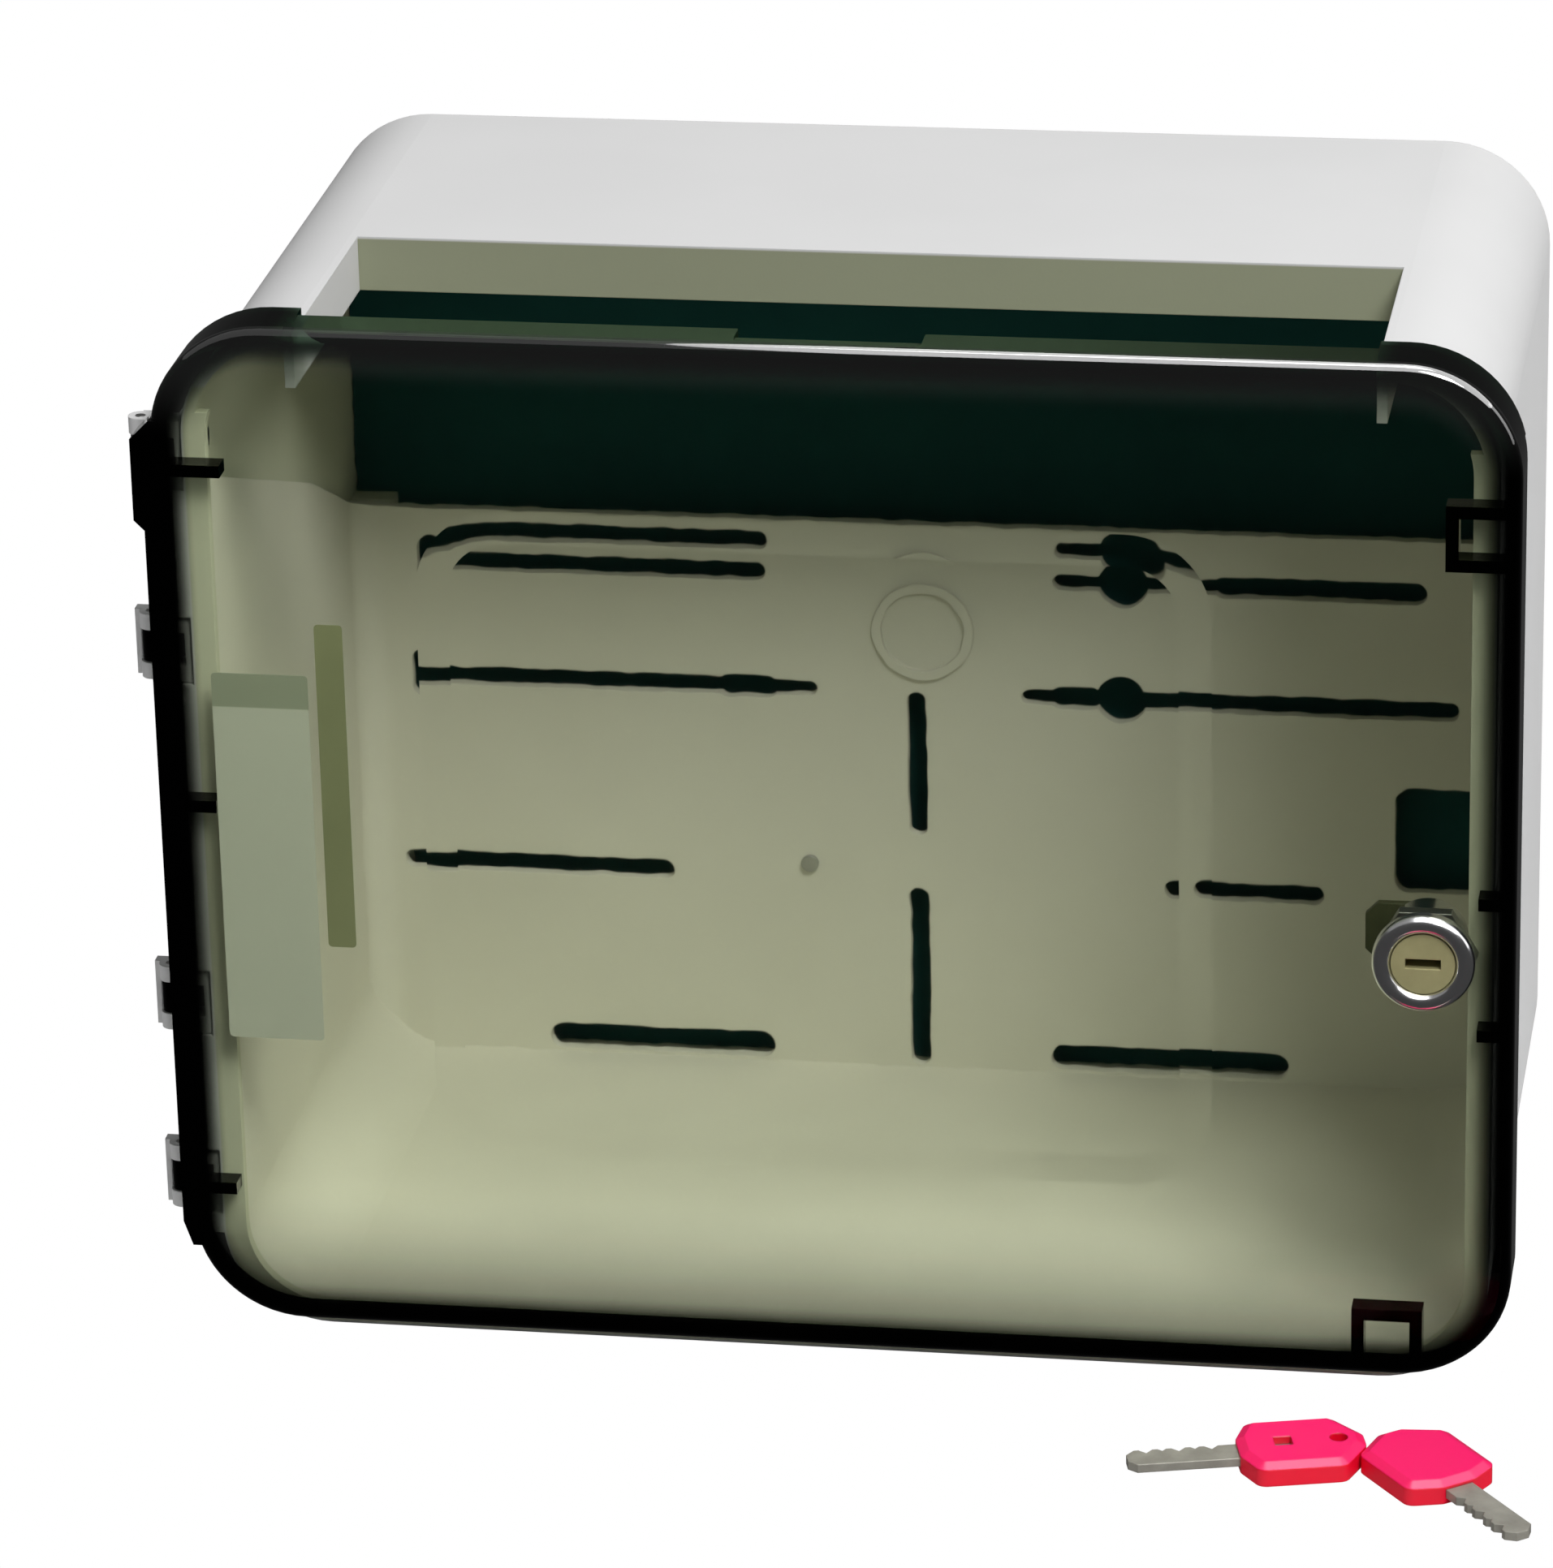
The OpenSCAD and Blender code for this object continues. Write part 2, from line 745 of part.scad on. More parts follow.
module door_label() {
    color(paper) deep(door_inner_y, label_t)
        translate([label_in - door_side_x, label_z]) square([label_w, label_h], center = true);
}

module door_strip() {
    color(paper) deep(door_inner_y, label_t)
        translate([band_in - door_side_x, band_z]) square([band_w, band_h], center = true);
}

// Places a piece that is turned about Z on the lock's axis, with its Z to the back
module on_lock(y) {
    translate([lock_x, y, lock_z]) rotate([-90, 0, 0]) children();
}

// Barrel with a round-topped bezel
module lock_barrel() {
    bore = plug_r + lock_fit;
    dome_r = (bezel_d / 2 - bore) / 2;
    color(steel) on_lock(face_y) rotate_extrude() {
        translate([bore + dome_r, dome_r - bezel_rise]) intersection() {
            circle(dome_r);
            translate([-dome_r, -dome_r]) square([2 * dome_r, dome_r]);
        }
        translate([bore, dome_r - bezel_rise]) square([2 * dome_r, bezel_rise - dome_r]);
        translate([bore, -eps]) square([barrel_r - bore, barrel_l + eps]);
    }
}

module lock_washer() {
    color(steel) on_lock(door_inner_y) difference() {
        cylinder(r = nut_flats / 2, h = washer_t);
        translate([0, 0, -eps]) cylinder(r = barrel_r + lock_fit, h = washer_t + 2 * eps);
    }
}

module lock_nut() {
    color(steel) on_lock(door_inner_y + washer_t) difference() {
        cylinder(r = nut_flats / 2 / cos(30), h = nut_t, $fn = 6);
        translate([0, 0, -eps]) cylinder(r = barrel_r + lock_fit, h = nut_t + 2 * eps);
    }
}

// Depth of the wafer with the given number, from the front of the plug
function wafer_y(i) = wafer_first + i * wafer_step;

module lock_plug() {
    plug_front = -bezel_rise + plug_sink;
    color(steel) on_lock(face_y) difference() {
        union() {
            translate([0, 0, plug_front]) cylinder(r = plug_r, h = barrel_l - plug_front);
            translate([-tail_w / 2, -tail_w / 2, barrel_l - eps])
                cube([tail_w, tail_w, cam_y + cam_t - face_y - barrel_l + eps]);
        }
        translate([-keyway_w / 2, -keyway_h / 2, plug_front - eps])
            cube([keyway_w, keyway_h, keyway_l]);
        for (i = [0:wafer_count - 1])
            translate([wafer_in - plug_r, -plug_r / 2, wafer_y(i)])
                cube([2 * (plug_r - wafer_in), plug_r, wafer_t + 2 * lock_fit]);
        translate([0, 0, cam_y + cam_t - face_y - cam_screw_l])
            cylinder(r = cam_screw_r + lock_fit, h = cam_screw_l + eps);
    }
}

module lock_wafers() {
    wafer_x = plug_r - wafer_in - wafer_play;
    color(brass) on_lock(face_y) for (i = [0:wafer_count - 1])
        difference() {
            translate([-wafer_x, wafer_play - plug_r / 2, wafer_y(i) + lock_fit])
                cube([2 * wafer_x, plug_r - 2 * wafer_play, wafer_t]);
            translate([-keyway_w / 2, -keyway_h / 2, wafer_y(i)])
                cube([keyway_w, keyway_h, 2 * wafer_t]);
        }
}

// Cam that points to the left while the lock is open
module cam() {
    half = cam_w / 2;
    color(steel) on_lock(cam_y) difference() {
        linear_extrude(height = cam_t) {
            circle(half);
            polygon([[0, half], [-cam_reach + cam_chamfer, half], [-cam_reach, half - cam_chamfer],
                     [-cam_reach, -half + cam_chamfer], [-cam_reach + cam_chamfer, -half], [0, -half]]);
        }
        translate([0, 0, cam_t / 2])
            cube([tail_w + 2 * tail_play, tail_w + 2 * tail_play, cam_t + through], center = true);
    }
}

module cam_screw() {
    color(steel) on_lock(cam_y + cam_t) {
        translate([0, 0, -cam_screw_l + lock_fit]) cylinder(r = cam_screw_r, h = cam_screw_l);
        cylinder(r = cam_screw_head_r, h = cam_screw_head_t);
    }
}

// Blade of a key along -X from the origin, with its tang in the head along +X
module key_blade_flat() {
    difference() {
        translate([-blade_l, -blade_w / 2]) square([blade_l + tang_l, blade_w]);
        for (i = [1:bit_count])
            translate([-bit_step * (i + 0.5), blade_w / 2]) rotate(45)
                square(bit_depth[i % 2], center = true);
        for (s = [-1, 1])
            translate([-blade_l, s * blade_w / 2]) rotate(45) square(tip_chamfer, center = true);
    }
}

module key_blade(x, y, turn) {
    color(steel) translate([x, y, (head_t - blade_t) / 2]) rotate([0, 0, turn])
        linear_extrude(height = blade_t) key_blade_flat();
}

// Eight-sided outline of a key's head along +X from the origin, narrower at both ends
module head_outline(inset) {
    r = head_corner_r;
    end_x = head_l - r;
    taper_x = head_l - ring_taper;
    wide_y = head_w / 2 - r;
    neck_y = neck_w / 2 - r;
    ring_y = ring_end_w / 2 - r;
    offset(r = r - inset)
        polygon([[r, -neck_y], [neck_taper, -wide_y], [taper_x, -wide_y], [end_x, -ring_y],
                 [end_x, ring_y], [taper_x, wide_y], [neck_taper, wide_y], [r, neck_y]]);
}

// Head of a key, sloped towards its rim above and below
module key_head(x, y, turn, pierced) {
    color(pink) translate([x, y, 0]) rotate([0, 0, turn]) difference() {
        hull() {
            linear_extrude(height = head_t) head_outline(head_slope_w, $fn = 32);
            translate([0, 0, head_slope_h / 2])
                linear_extrude(height = head_t - 1.5 * head_slope_h) head_outline(0, $fn = 32);
        }
        translate([-eps, -blade_w / 2 - tang_play, (head_t - blade_t) / 2 - tang_play])
            cube([tang_l + tang_play + eps, blade_w + 2 * tang_play, blade_t + 2 * tang_play]);
        if (pierced) {
            translate([head_l - ring_hole_in, 0, -through])
                cylinder(r = ring_hole_r, h = head_t + 2 * through);
            translate([head_window_in - head_window_w / 2, -head_window_w / 2, head_t / 2])
                cube([head_window_w, head_window_w, head_t]);
        }
    }
}

housing();
liner();
rear_plate();
plate_screws();
liner_screw();
hinge_loop(0);  // hinge_loop_1
hinge_loop(1);  // hinge_loop_2
hinge_loop(2);  // hinge_loop_3
hinge_loop(3, web = false);  // hinge_loop_4
loop_screws();
hinge_pin(0);  // hinge_pin_1
hinge_pin(1);  // hinge_pin_2
hinge_pin(2);  // hinge_pin_3
hinge_pin(3);  // hinge_pin_4
door();
door_label();
door_strip();
lock_barrel();
lock_washer();
lock_nut();
lock_plug();
lock_wafers();
cam();
cam_screw();
key_blade(key_1_x, key_1_y, key_1_turn);  // key_1_blade
key_head(key_1_x, key_1_y, key_1_turn, pierced = true);  // key_1_head
key_blade(key_2_x, key_2_y, key_2_turn);  // key_2_blade
key_head(key_2_x, key_2_y, key_2_turn, pierced = false);  // key_2_head
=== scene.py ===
"""Looks of the sharps container enclosure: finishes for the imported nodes, two films, studio and camera.

Lengths are in metres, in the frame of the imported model: X to the right, Y to the back, Z up.
"""

import json
import math

import bpy
from mathutils import Matrix, Vector


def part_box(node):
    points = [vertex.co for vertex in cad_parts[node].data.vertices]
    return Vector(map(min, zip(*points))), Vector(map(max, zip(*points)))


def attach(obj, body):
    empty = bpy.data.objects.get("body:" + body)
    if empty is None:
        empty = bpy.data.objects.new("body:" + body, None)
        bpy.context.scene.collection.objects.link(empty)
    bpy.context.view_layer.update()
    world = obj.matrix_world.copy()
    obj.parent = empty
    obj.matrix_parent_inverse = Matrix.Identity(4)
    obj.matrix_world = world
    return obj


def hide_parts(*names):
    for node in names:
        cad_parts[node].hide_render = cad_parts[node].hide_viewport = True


MM = 0.001

# Photograph, in its own pixels
IMAGE_W = 1913
IMAGE_H = 1932

# Camera, fitted to the photograph
FOCAL_PX = 9466.0
CAMERA_PLACE = Vector((0.2748, -1.7921, 0.8558))
CAMERA_YAW = -9.66
CAMERA_PITCH = 22.16
CAMERA_ROLL = -1.37
SENSOR_MM = 36.0
CLIP_NEAR = 0.05
CLIP_FAR = 50

# Outer outline of the housing and of the door, seen from the front
HOUSING_HALF = (159 * MM, 132 * MM)
HOUSING_MID_Z = 132 * MM
HOUSING_CORNER = 27 * MM
DOOR_HALF = (165 * MM, 131.25 * MM)
DOOR_MID_Z = 135.75 * MM
DOOR_CORNER = 28 * MM
DOOR_TOP_Z = DOOR_MID_Z + DOOR_HALF[1]
DOOR_FOOT_Z = DOOR_MID_Z - DOOR_HALF[1]
DOOR_BACK_Y = -94 * MM
DOOR_SKIRT = 2.5 * MM
FLANGE_HALF = 128 * MM

# Door's plastic: how far inside its outline, behind its panel or above its foot it darkens, starting and full; the
# darkening above the foot is painted shade
EDGE_START = 10 * MM
EDGE_FULL = 1.2 * DOOR_SKIRT
BEHIND_START = 0.2 * MM
BEHIND_FULL = 0.8 * MM
FOOT_SHADE_START = 38 * MM
FOOT_SHADE_DEPTH = 0.75

# Door's plastic: how far below its top or past its flange's end the tint changes, starting and full; the lighter tint
# up there is painted light
UPPER_START = DOOR_CORNER
UPPER_FULL = 0.3 * DOOR_CORNER
FLANGE_START = 1.5 * DOOR_SKIRT
FLANGE_FULL = DOOR_SKIRT
FLANGE_END = 8 * MM

# Door's plastic: its mirror, calm in the panel and strong on the fold along the top
FOLD_START = 14 * MM
FOLD_FULL = 4 * MM
FOLD_COAT_IOR = 2.4
PANEL_SHINE = (0.08, 0.08, 0.08, 1.0)
SMOKE_ROUGH = 0.03
SMOKE_IOR = 1.45
WAVE_SIZE = 30 * MM
WAVE_STRENGTH = 0.02

# Housing's plastic: depth of the outer skin, where painted light makes it grey, and width of its steps at the lips
SKIN_START = 0.8 * MM
SKIN_FULL = 0.3 * MM
LIP_START = 0.4 * MM
LIP_FULL = 0.1 * MM
HOUSING_ROUGH = 0.45
DRIFT_SCALE = 20
DRIFT_RANGE = (0.2, 0.8)

# Fine grain and softened edges of all moulded and metal finishes, and the patches of their colours
GRAIN_SIZE = 0.0009
GRAIN_STRENGTH = 0.1
GRAIN_DEPTH = 0.2
GRAIN_DETAIL = 3
EDGE_ROUND = 0.0004
EDGE_SAMPLES = 4
PATCH_SIZE = 0.06
PATCH_DETAIL = 5
PATCH_LOW = 0.25
PATCH_HIGH = 0.75
PLAIN_IOR = 1.5
MATT_IOR = 1.0

# Key heads: gloss, and how far up a face's normal points where the painted shade of the red slopes turns to the pink
# of the top
KEY_ROUGH = 0.3
FLAT_RANGE = (0.5, 0.98)

# Drop opening in the housing's top
TOP_Z = 264 * MM
LIP_H = 14 * MM
LIP_BACK_Y = -14.6 * MM
LIP_SIDE_X = 130 * MM

# Blank label and a darker strip of painted shade, just behind the door's panel
FILM_GAP = 0.08 * MM
FILM_T = 0.2 * MM
FILM_CORNER = 1 * MM
CORNER_STEPS = 4
LABEL_HEADER = 9 * MM
HEADER_STEP = 0.4 * MM
FILM_ROUGH = 0.5
FILM_GRAIN = 0.0006

# Light: levels of the surroundings by kind of ray, and lamps as place, size and power
AMBIENT = 0.13
MIRRORED = 0.05
THROUGH_DOOR = 0.32
FLOOR_MIRRORED = 0.05
FLOOR_WHITE = 0.85
FLOOR_SIZE = 12
LAMP_TARGET = Vector((0, 0, 0.13))
LAMPS = {
    "key_light": ((0.8, -1.15, 1.95), 0.8, 45),
    "top_light": ((0.17, 0.2, 2.3), 0.8, 12),
    "side_light": ((2.2, 0.1, 0.9), 1.2, 7),
}
SHINES = {
    "shine_light": ((0.8, -0.1, 1.2), 2.0, 36),
    "faint_light": ((-1.2, -0.1, 1.2), 2.0, 2.4),
}


def rgb(r, g, b):
    """Scene-linear colour of a screen colour given from 0 to 255."""
    def linear(v):
        v /= 255
        return v / 12.92 if v <= 0.04045 else ((v + 0.055) / 1.055) ** 2.4
    return (linear(r), linear(g), linear(b), 1.0)


# Colours
SMOKE_TINT = rgb(214, 219, 208)
EDGE_TINT = rgb(0.4, 0.7, 0.5)
# Painted light on the upper edges; the flange's lighter tint is partly its thin, clear plastic and partly painted
# light from above
TOP_EDGE_LIT_TINT = rgb(44, 66, 52)
FLANGE_LIT_TINT = rgb(118, 142, 124)
SHADOW_TINT = rgb(246, 247, 242)
EDGE_SHADOW = rgb(110, 116, 108)
# Painted light and shade on the one housing plastic: lit grey outside, shaded beige inside, darker shade on the back
# lip
LIT_GREY = rgb(210, 210, 210)
SHADED_BEIGE = rgb(196, 196, 176)
SHADED_BACK_LIP = rgb(154, 158, 134)
KEY_PINK = rgb(250, 22, 106)
# Painted shade on the slopes and sides of the key heads
SHADED_KEY_RED = rgb(236, 8, 48)
LABEL = rgb(191, 192, 180)
LABEL_DARK = rgb(148, 153, 135)
SHADE_LOW = (0.97, 0.97, 0.97, 1.0)
SHADE_HIGH = (1.0, 1.0, 1.0, 1.0)

# Sockets of a Mix node: its number inputs and output, and its colour inputs and output
NUMBER_A, NUMBER_B, NUMBER_OUT = 2, 3, 0
COLOUR_A, COLOUR_B, COLOUR_OUT = 6, 7, 2


def new_material(name):
    """An empty node material and a function that adds nodes with settings to it."""
    material = bpy.data.materials.new(name)
    material.use_nodes = True
    tree = material.node_tree
    tree.nodes.clear()

    def add(kind, **settings):
        node = tree.nodes.new("ShaderNode" + kind)
        for key, value in settings.items():
            setattr(node, key, value)
        return node
    return material, tree, add


def link(tree, source, output, target, socket):
    """Joins an output of one node to a socket of another."""
    tree.links.new(source.outputs[output], target.inputs[socket])


def grain(tree, add, shader, size, strength, edge=0.0):
    """Fine moulded grain of the given size as a bump, with the edges rounded by the given radius."""
    place = add("TexCoord")
    noise = add("TexNoise")
    noise.inputs["Scale"].default_value = 1 / size
    noise.inputs["Detail"].default_value = GRAIN_DETAIL
    bump = add("Bump")
    bump.inputs["Strength"].default_value = strength
    bump.inputs["Distance"].default_value = size * GRAIN_DEPTH
    link(tree, place, "Object", noise, "Vector")
    link(tree, noise, "Fac", bump, "Height")
    if edge:
        bevel = add("Bevel", samples=EDGE_SAMPLES)
        bevel.inputs["Radius"].default_value = edge
        link(tree, bevel, "Normal", bump, "Normal")
    link(tree, bump, "Normal", shader, "Normal")


def mottled(tree, add, shader, light, dark, size):
    """Colour that drifts between two values over patches of the given size."""
    place = add("TexCoord")
    noise = add("TexNoise")
    noise.inputs["Scale"].default_value = 1 / size
    noise.inputs["Detail"].default_value = PATCH_DETAIL
    ramp = add("ValToRGB")
    ramp.color_ramp.elements[0].position = PATCH_LOW
    ramp.color_ramp.elements[0].color = dark
    ramp.color_ramp.elements[1].position = PATCH_HIGH
    ramp.color_ramp.elements[1].color = light
    link(tree, place, "Object", noise, "Vector")
    link(tree, noise, "Fac", ramp, "Fac")
    link(tree, ramp, "Color", shader, "Base Color")


def solid(name, light, dark, rough, patch=PATCH_SIZE, metal=0.0, grain_strength=GRAIN_STRENGTH, edge=EDGE_ROUND,
          ior=PLAIN_IOR):
    """Opaque finish with drifting colour, fine grain and softened edges."""
    material, tree, add = new_material(name)
    shader = add("BsdfPrincipled")
    shader.inputs["IOR"].default_value = ior
    shader.inputs["Roughness"].default_value = rough
    shader.inputs["Metallic"].default_value = metal
    out = add("OutputMaterial")
    mottled(tree, add, shader, light, dark, patch)
    grain(tree, add, shader, GRAIN_SIZE, grain_strength, edge)
    link(tree, shader, "BSDF", out, "Surface")
    return material


def math_node(tree, add, operation, *values):
    """Math node whose inputs are numbers or (node, output) pairs."""
    node = add("Math", operation=operation)
    for socket, value in enumerate(values):
        if isinstance(value, tuple):
            link(tree, value[0], value[1], node, socket)
        else:
            node.inputs[socket].default_value = value
    return node, 0


def outline_distance(tree, add, half, mid_z, corner):
    """Distance outside a rounded rectangle in X and Z, negative inside, and the place's three parts."""
    place = add("TexCoord")
    split = add("SeparateXYZ")
    link(tree, place, "Object", split, "Vector")
    reach = add("CombineXYZ")
    for axis, middle, limit in (("X", 0.0, half[0]), ("Z", mid_z, half[1])):
        off = math_node(tree, add, "SUBTRACT", (split, axis), middle)
        size = math_node(tree, add, "ABSOLUTE", off)
        past = math_node(tree, add, "SUBTRACT", size, limit - corner)
        clipped = math_node(tree, add, "MAXIMUM", past, 0.0)
        link(tree, clipped[0], clipped[1], reach, axis)
    length = add("VectorMath", operation="LENGTH")
    link(tree, reach, "Vector", length, 0)
    return math_node(tree, add, "SUBTRACT", (length, "Value"), corner), split


def step_up(tree, add, value, low, high):
    """Rises smoothly from 0 to 1 as the value passes from low to high."""
    node = add("MapRange", interpolation_type="SMOOTHSTEP")
    node.inputs["From Min"].default_value = low
    node.inputs["From Max"].default_value = high
    link(tree, value[0], value[1], node, "Value")
    return node, "Result"


def mix_colours(tree, add, factor, first, second):
    """Mixes two colours, each a value or a (node, output) pair, by a factor."""
    node = add("Mix", data_type="RGBA")
    link(tree, factor[0], factor[1], node, "Factor")
    for socket, value in ((COLOUR_A, first), (COLOUR_B, second)):
        if isinstance(value[0], float):
            node.inputs[socket].default_value = value
        else:
            link(tree, value[0], value[1], node, socket)
    return node, COLOUR_OUT


def door_masks(tree, add):
    """Values from 0 to 1 over the door: dark at the rim and behind, the same with painted shade above the foot, high
    up, flange, fold.
    """
    distance, split = outline_distance(tree, add, DOOR_HALF, DOOR_MID_Z, DOOR_CORNER)
    rim = step_up(tree, add, distance, -EDGE_START, -EDGE_FULL)
    behind = step_up(tree, add, (split, "Y"), DOOR_BACK_Y + BEHIND_START, DOOR_BACK_Y + BEHIND_FULL)
    dark = math_node(tree, add, "MAXIMUM", rim, behind)
    # Painted shade: the tint darkens towards the door's foot
    foot = step_up(tree, add, (split, "Z"), DOOR_FOOT_Z + FOOT_SHADE_START, DOOR_FOOT_Z)
    foot = math_node(tree, add, "MULTIPLY", foot, FOOT_SHADE_DEPTH)
    edge = math_node(tree, add, "MAXIMUM", dark, foot)
    # Painted light: the upper edges and the flange get lighter tints
    upper = step_up(tree, add, (split, "Z"), DOOR_TOP_Z - UPPER_START, DOOR_TOP_Z - UPPER_FULL)
    high = step_up(tree, add, (split, "Z"), DOOR_TOP_Z - FLANGE_START, DOOR_TOP_Z - FLANGE_FULL)
    across = math_node(tree, add, "ABSOLUTE", (split, "X"))
    side = step_up(tree, add, across, FLANGE_HALF, FLANGE_HALF + FLANGE_END)
    flange = math_node(tree, add, "SUBTRACT", high, side)
    flange = math_node(tree, add, "MAXIMUM", flange, 0.0)
    fold = step_up(tree, add, distance, -FOLD_START, -FOLD_FULL)
    fold = math_node(tree, add, "MULTIPLY", fold, upper)
    fold = math_node(tree, add, "SUBTRACT", fold, behind)
    fold = math_node(tree, add, "MAXIMUM", fold, 0.0)
    return dark, edge, upper, flange, fold


def smoke_plastic():
    """Smoke-tinted clear plastic, almost black in its edges and with painted shade towards its foot, that lets the
    lamps reach what is behind it.
    """
    material, tree, add = new_material("smoke_plastic")
    dark, edge, upper, flange, fold = door_masks(tree, add)
    # Painted light: lighter tints on the lit upper edges and flange
    edge_tint = mix_colours(tree, add, upper, EDGE_TINT, TOP_EDGE_LIT_TINT)
    edge_tint = mix_colours(tree, add, flange, edge_tint, FLANGE_LIT_TINT)
    # Mixes in the dark edges and the painted shade towards the foot
    tint = mix_colours(tree, add, edge, SMOKE_TINT, edge_tint)
    glass = add("BsdfPrincipled")
    link(tree, tint[0], tint[1], glass, "Base Color")
    link(tree, fold[0], fold[1], glass, "Coat Weight")
    glass.inputs["Coat IOR"].default_value = FOLD_COAT_IOR
    glass.inputs["Specular Tint"].default_value = PANEL_SHINE
    glass.inputs["Roughness"].default_value = SMOKE_ROUGH
    glass.inputs["IOR"].default_value = SMOKE_IOR
    glass.inputs["Transmission Weight"].default_value = 1.0
    grain(tree, add, glass, WAVE_SIZE, WAVE_STRENGTH)

    # Light that meets a dark edge from within is absorbed, not mirrored
    facing = add("NewGeometry")
    from_inside = math_node(tree, add, "MULTIPLY", (facing, "Backfacing"), dark)
    absorbing = add("BsdfTransparent")
    link(tree, edge_tint[0], edge_tint[1], absorbing, "Color")
    body = add("MixShader")
    link(tree, from_inside[0], from_inside[1], body, 0)
    link(tree, glass, "BSDF", body, 1)
    link(tree, absorbing, "BSDF", body, 2)

    # Shadows of the panel are faint, those of the edges deep
    clear = add("BsdfTransparent")
    cast = mix_colours(tree, add, edge, SHADOW_TINT, EDGE_SHADOW)
    link(tree, cast[0], cast[1], clear, "Color")
    path = add("LightPath")
    mix = add("MixShader")
    out = add("OutputMaterial")
    link(tree, path, "Is Shadow Ray", mix, 0)
    link(tree, body, "Shader", mix, 1)
    link(tree, clear, "BSDF", mix, 2)
    link(tree, mix, "Shader", out, "Surface")
    return material


def housing_plastic():
    """One moulded plastic with painted light and shade: lit light grey on the outer skin and the drop opening's side
    lips, shaded beige inside, and a darker painted shade on the back lip.
    """
    material, tree, add = new_material("housing_plastic")
    shader = add("BsdfPrincipled")
    shader.inputs["Roughness"].default_value = HOUSING_ROUGH
    shader.inputs["IOR"].default_value = MATT_IOR
    out = add("OutputMaterial")
    distance, split = outline_distance(tree, add, HOUSING_HALF, HOUSING_MID_Z, HOUSING_CORNER)
    skin = step_up(tree, add, distance, -SKIN_START, -SKIN_FULL)
    in_lip = step_up(tree, add, (split, "Z"), TOP_Z - LIP_H - MM, TOP_Z - LIP_H)
    at_back = step_up(tree, add, (split, "Y"), LIP_BACK_Y - LIP_START, LIP_BACK_Y - LIP_FULL)
    back_lip = math_node(tree, add, "MULTIPLY", in_lip, at_back)
    across = math_node(tree, add, "ABSOLUTE", (split, "X"))
    at_side = step_up(tree, add, across, LIP_SIDE_X - LIP_START, LIP_SIDE_X - LIP_FULL)
    side_lip = math_node(tree, add, "MULTIPLY", in_lip, at_side)
    # Painted light on the side lips and the outer skin, painted shade inside and, deeper, on the back lip
    inside = mix_colours(tree, add, side_lip, SHADED_BEIGE, LIT_GREY)
    inside = mix_colours(tree, add, back_lip, inside, SHADED_BACK_LIP)
    colour = mix_colours(tree, add, skin, inside, LIT_GREY)
    place = add("TexCoord")
    noise = add("TexNoise")
    noise.inputs["Scale"].default_value = DRIFT_SCALE
    link(tree, place, "Object", noise, "Vector")
    shade = step_up(tree, add, (noise, "Fac"), *DRIFT_RANGE)
    drift = mix_colours(tree, add, shade, SHADE_LOW, SHADE_HIGH)
    blend = add("Mix", data_type="RGBA", blend_type="MULTIPLY")
    blend.inputs["Factor"].default_value = 1.0
    link(tree, colour[0], colour[1], blend, COLOUR_A)
    link(tree, drift[0], drift[1], blend, COLOUR_B)
    link(tree, blend, COLOUR_OUT, shader, "Base Color")
    grain(tree, add, shader, GRAIN_SIZE, GRAIN_STRENGTH, EDGE_ROUND)
    link(tree, shader, "BSDF", out, "Surface")
    return material


def key_plastic():
    """Glossy pink plastic with painted shade: its slopes and sides, turned from the light, are redder than its flat
    top.
    """
    material, tree, add = new_material("key_plastic")
    shader = add("BsdfPrincipled")
    shader.inputs["Roughness"].default_value = KEY_ROUGH
    out = add("OutputMaterial")
    place = add("TexCoord")
    split = add("SeparateXYZ")
    link(tree, place, "Normal", split, "Vector")
    # Painted shade: faces that point less far up turn darker red
    flat = step_up(tree, add, (split, "Z"), *FLAT_RANGE)
    colour = mix_colours(tree, add, flat, SHADED_KEY_RED, KEY_PINK)
    link(tree, colour[0], colour[1], shader, "Base Color")
    grain(tree, add, shader, GRAIN_SIZE, GRAIN_STRENGTH / 2, 2 * EDGE_ROUND)
    link(tree, shader, "BSDF", out, "Surface")
    return material


def label_film():
    """Blank film with a darker band along its upper end."""
    material, tree, add = new_material("label_film")
    shader = add("BsdfPrincipled")
    shader.inputs["Roughness"].default_value = FILM_ROUGH
    out = add("OutputMaterial")
    place = add("TexCoord")
    split = add("SeparateXYZ")
    link(tree, place, "Object", split, "Vector")
    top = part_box("door_label")[1][2]
    header = step_up(tree, add, (split, "Z"), top - LABEL_HEADER, top - LABEL_HEADER + HEADER_STEP)
    colour = mix_colours(tree, add, header, LABEL, LABEL_DARK)
    link(tree, colour[0], colour[1], shader, "Base Color")
    grain(tree, add, shader, FILM_GRAIN, GRAIN_STRENGTH)
    link(tree, shader, "BSDF", out, "Surface")
    return material


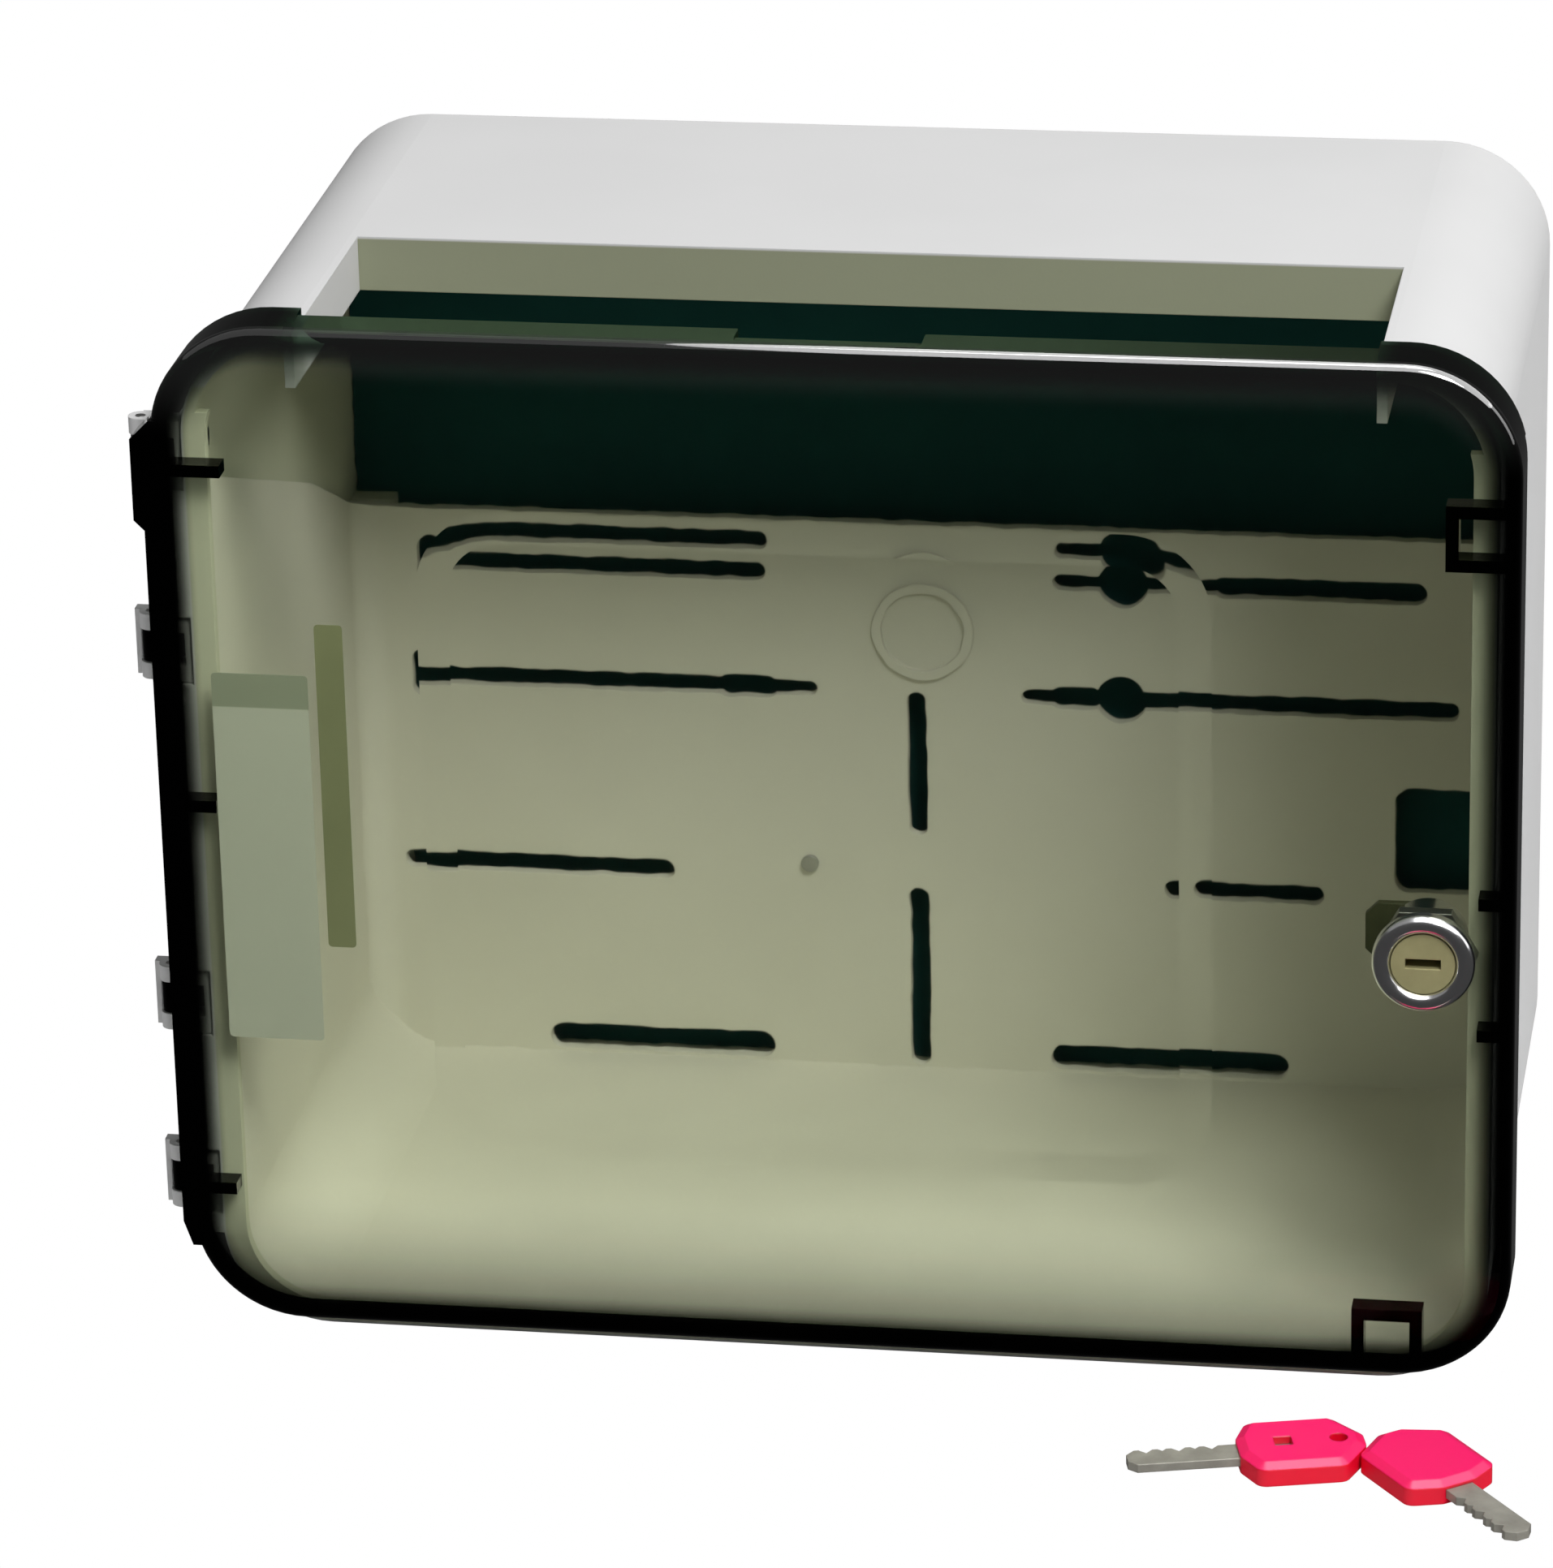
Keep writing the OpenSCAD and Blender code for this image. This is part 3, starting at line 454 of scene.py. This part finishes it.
def film(name, node, finish):
    """Thin plate with round corners in the place of a film node, just behind the door's inner face."""
    low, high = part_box(node)
    mesh = bpy.data.meshes.new(name)
    outline = []
    for turn, (x, z) in enumerate(((high[0], high[2]), (low[0], high[2]), (low[0], low[2]), (high[0], low[2]))):
        middle_x = x - math.copysign(FILM_CORNER, x - (low[0] + high[0]) / 2)
        middle_z = z - math.copysign(FILM_CORNER, z - (low[2] + high[2]) / 2)
        for step in range(CORNER_STEPS + 1):
            angle = math.radians(90 * (turn + step / CORNER_STEPS))
            outline.append((middle_x + FILM_CORNER * math.cos(angle), middle_z + FILM_CORNER * math.sin(angle)))
    count = len(outline)
    front = DOOR_BACK_Y + FILM_GAP
    points = [(x, y, z) for y in (front, front + FILM_T) for x, z in outline]
    faces = [list(range(count)), list(range(2 * count - 1, count - 1, -1))]
    faces += [[i, count + i, count + (i + 1) % count, (i + 1) % count] for i in range(count)]
    mesh.from_pydata(points, [], faces)
    mesh.validate()
    mesh.materials.append(finish)
    piece = bpy.data.objects.new(name, mesh)
    bpy.context.scene.collection.objects.link(piece)
    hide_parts(node)
    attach(piece, "door")


def materials():
    """All finishes by name: light and dark colour, roughness, then patch size and what differs."""
    return {
        "housing_plastic": housing_plastic(),
        "liner_plastic": solid("liner_plastic", rgb(214, 211, 198), rgb(206, 203, 190), 0.5, ior=MATT_IOR),
        # The plate's darkness is its own; its teal cast is a painted reflection of the greenish veil on the door
        "dark_plate": solid("dark_plate", rgb(32, 74, 72), rgb(28, 66, 66), 0.7, edge=0.0, ior=MATT_IOR),
        "screw_steel": solid("screw_steel", rgb(190, 190, 188), rgb(165, 165, 162), 0.3, 0.01, metal=1.0),
        "lock_chrome": solid("lock_chrome", rgb(238, 238, 240), rgb(226, 226, 228), 0.2, 0.01, metal=1.0,
                             grain_strength=0.0, edge=0.0),
        # The plug face's olive tone: partly its metal, partly a painted reflection of beige surroundings
        "lock_face": solid("lock_face", rgb(176, 170, 124), rgb(162, 156, 112), 0.4, 0.006, metal=0.4,
                           grain_strength=0.05),
        "cam_steel": solid("cam_steel", rgb(62, 64, 40), rgb(48, 50, 30), 0.5, 0.006, metal=0.3),
        "wafer_brass": solid("wafer_brass", rgb(205, 170, 95), rgb(180, 145, 75), 0.3, 0.01, metal=1.0),
        "key_steel": solid("key_steel", rgb(170, 167, 157), rgb(138, 135, 126), 0.35, 0.006, metal=0.3),
        "key_plastic": key_plastic(),
        "label_film": label_film(),
        # Painted shade: a darker strip standing in for the shaded side of a step at the liner's left corner
        "strip_film": solid("strip_film", rgb(138, 140, 106), rgb(128, 131, 98), 0.5, 0.03, edge=0.0),
        "smoke_plastic": smoke_plastic(),
    }


# Nodes whose finish isn't that of their slot
OWN_FINISH = {"cam": "cam_steel", "lock_plug": "lock_face"}


def finish_nodes(finishes):
    """Puts each node's finish, by the record's slots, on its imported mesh."""
    for part in frame["record"]["subparts"]:
        mesh = frame["nodes"][part["node"]].data
        mesh.materials.clear()
        mesh.materials.append(finishes[OWN_FINISH.get(part["node"], part["material_slot"])])


def floor_white():
    """Floor that is plain white to the camera, dim in mirrored views, and white to the light."""
    material, tree, add = new_material("floor_white")
    diffuse = add("BsdfDiffuse")
    diffuse.inputs["Color"].default_value = (FLOOR_WHITE, FLOOR_WHITE, FLOOR_WHITE, 1)
    dim = add("Emission")
    dim.inputs["Strength"].default_value = FLOOR_MIRRORED
    plain = add("Emission")
    path = add("LightPath")
    mirrored = add("MixShader")
    seen = add("MixShader")
    out = add("OutputMaterial")
    link(tree, path, "Is Glossy Ray", mirrored, 0)
    link(tree, diffuse, "BSDF", mirrored, 1)
    link(tree, dim, "Emission", mirrored, 2)
    link(tree, path, "Is Camera Ray", seen, 0)
    link(tree, mirrored, "Shader", seen, 1)
    link(tree, plain, "Emission", seen, 2)
    link(tree, seen, "Shader", out, "Surface")
    return material


def surroundings():
    """World that is white to the camera, dim in mirrored views, and of even light otherwise."""
    world = bpy.data.worlds.new("studio")
    world.use_nodes = True
    bpy.context.scene.world = world
    tree = world.node_tree
    tree.nodes.clear()
    path = tree.nodes.new("ShaderNodeLightPath")
    level = AMBIENT
    for ray, strength in (("Is Glossy Ray", MIRRORED), ("Is Transmission Ray", THROUGH_DOOR), ("Is Camera Ray", 1.0)):
        mix = tree.nodes.new("ShaderNodeMix")
        tree.links.new(path.outputs[ray], mix.inputs[0])
        if isinstance(level, float):
            mix.inputs[NUMBER_A].default_value = level
        else:
            tree.links.new(level, mix.inputs[NUMBER_A])
        mix.inputs[NUMBER_B].default_value = strength
        level = mix.outputs[NUMBER_OUT]
    background = tree.nodes.new("ShaderNodeBackground")
    background.inputs["Color"].default_value = (1, 1, 1, 1)
    out = tree.nodes.new("ShaderNodeOutputWorld")
    tree.links.new(level, background.inputs["Strength"])
    tree.links.new(background.outputs["Background"], out.inputs["Surface"])


def studio():
    """Floor, surroundings, soft lamps, and level lamps overhead that only show in mirrored views."""
    bpy.ops.mesh.primitive_plane_add(size=FLOOR_SIZE, location=(0, 0, 0))
    floor = bpy.context.object
    floor.name = "floor"
    floor.data.materials.append(floor_white())
    surroundings()
    for name, (place, size, power) in LAMPS.items():
        lamp(name, place, size, power)
    for name, (place, size, power) in SHINES.items():
        shine = lamp(name, place, size, power)
        shine.rotation_quaternion = (1, 0, 0, 0)
        shine.visible_diffuse = False
        shine.visible_transmission = False


def lamp(name, place, size, power):
    """Adds a square soft lamp that looks at the object's middle, and returns it."""
    data = bpy.data.lights.new(name, "AREA")
    data.size = size
    data.energy = power
    item = bpy.data.objects.new(name, data)
    item.location = place
    item.rotation_mode = "QUATERNION"
    item.rotation_quaternion = (LAMP_TARGET - Vector(place)).to_track_quat("-Z", "Y")
    bpy.context.scene.collection.objects.link(item)
    return item


def camera():
    """The photograph's camera, turned by yaw, pitch and roll in that order."""
    turn = (
        Matrix.Rotation(math.radians(CAMERA_ROLL), 3, "Y")
        @ Matrix.Rotation(math.radians(CAMERA_PITCH), 3, "X")
        @ Matrix.Rotation(math.radians(CAMERA_YAW), 3, "Z")
    )
    right, forward, up = turn.row
    data = bpy.data.cameras.new("camera")
    data.sensor_fit = "AUTO"
    data.sensor_width = SENSOR_MM
    data.lens = FOCAL_PX * SENSOR_MM / max(IMAGE_W, IMAGE_H)
    data.clip_start = CLIP_NEAR
    data.clip_end = CLIP_FAR
    item = bpy.data.objects.new("camera", data)
    axes = Matrix((right, up, -forward)).transposed()
    item.matrix_world = Matrix.Translation(CAMERA_PLACE) @ axes.to_4x4()
    bpy.context.scene.collection.objects.link(item)
    bpy.context.scene.camera = item


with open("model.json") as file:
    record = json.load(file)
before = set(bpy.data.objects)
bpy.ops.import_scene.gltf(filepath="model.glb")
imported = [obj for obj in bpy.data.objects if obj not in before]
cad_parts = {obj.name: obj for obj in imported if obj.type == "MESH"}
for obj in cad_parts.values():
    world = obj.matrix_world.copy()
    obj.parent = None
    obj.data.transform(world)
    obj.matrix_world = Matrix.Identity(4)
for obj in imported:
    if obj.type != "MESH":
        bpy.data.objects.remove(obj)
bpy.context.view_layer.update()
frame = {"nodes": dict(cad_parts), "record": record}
bpy.context.scene.view_settings.view_transform = "Standard"
camera()
studio()
finishes = materials()
finish_nodes(finishes)
film("label", "door_label", finishes["label_film"])
# A darker strip of painted shade
film("strip", "door_strip", finishes["strip_film"])
